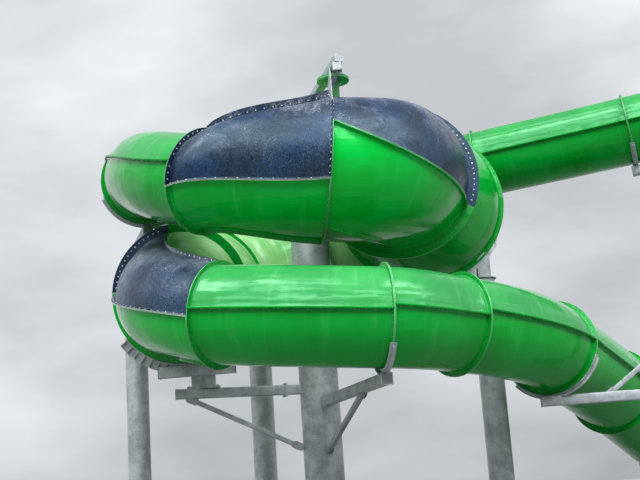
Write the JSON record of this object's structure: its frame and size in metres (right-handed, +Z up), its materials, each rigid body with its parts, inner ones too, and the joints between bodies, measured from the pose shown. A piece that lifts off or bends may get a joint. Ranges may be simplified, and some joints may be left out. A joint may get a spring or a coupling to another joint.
{
  "type": "water slide tower",
  "caption": "Closed water slide tube of bolted shells that loops round a main steel column, widens into a bowl with dark crown panels and runs out low, on arms and columns.",
  "frame": {"origin": "centre of the main column's base plate, on the ground", "axes": "+Z up, +X to the right of the pictured front, +Y to the back"},
  "size_m": [22.163, 15.4976, 14.485],
  "materials": {
    "green_shell": "glossy gelcoat",
    "dark_shell": "weathered dark gelcoat",
    "galvanised_steel": "hot-dip galvanised, streaked"
  },
  "bodies": {
    "root": {"entry_tube_1_upper": "green_shell", "entry_tube_1_lower": "green_shell", "entry_tube_2_upper": "green_shell", "entry_tube_2_lower": "green_shell", "back_bend_1_upper": "green_shell", "back_bend_1_lower": "green_shell", "back_bend_2_upper": "green_shell", "back_bend_2_lower": "green_shell", "back_bend_3_upper": "green_shell", "back_bend_3_lower": "green_shell", "left_bend_1_upper": "green_shell", "left_bend_1_lower": "green_shell", "left_bend_2_upper": "green_shell", "left_bend_2_lower": "green_shell", "widening_bell_outer_lower": "green_shell", "widening_bell_crown": "dark_shell", "widening_bell_inner": "green_shell", "front_bowl_outer_lower": "green_shell", "front_bowl_crown": "dark_shell", "front_bowl_inner": "green_shell", "right_bowl_outer": "green_shell", "right_bowl_inner": "green_shell", "rear_bowl_1_outer": "green_shell", "rear_bowl_1_inner": "green_shell", "rear_bowl_2_outer": "green_shell", "rear_bowl_2_inner": "green_shell", "left_bowl_outer": "green_shell", "left_bowl_inner": "green_shell", "narrowing_bell_outer_lower": "green_shell", "narrowing_bell_crown": "dark_shell", "narrowing_bell_inner": "green_shell", "lower_tube_1_upper": "green_shell", "lower_tube_1_lower": "green_shell", "lower_tube_2_upper": "green_shell", "lower_tube_2_lower": "green_shell", "lower_tube_3_upper": "green_shell", "lower_tube_3_lower": "green_shell", "exit_tube_1_upper": "green_shell", "exit_tube_1_lower": "green_shell", "exit_tube_2_upper": "green_shell", "exit_tube_2_lower": "green_shell", "main_column": "galvanised_steel", "left_column": "galvanised_steel", "entry_column": "galvanised_steel", "outer_column": "galvanised_steel", "back_column": "galvanised_steel", "rear_right_column": "galvanised_steel", "exit_column": "galvanised_steel", "right_column": "galvanised_steel", "top_arm": "galvanised_steel", "left_arm": "galvanised_steel", "left_cradle": "galvanised_steel", "right_arm": "galvanised_steel", "rear_arm": "galvanised_steel", "left_column_arm": "galvanised_steel", "entry_crosshead": "galvanised_steel", "outer_arm": "galvanised_steel", "crown_vent": "green_shell"}
  },
  "joints": []
}
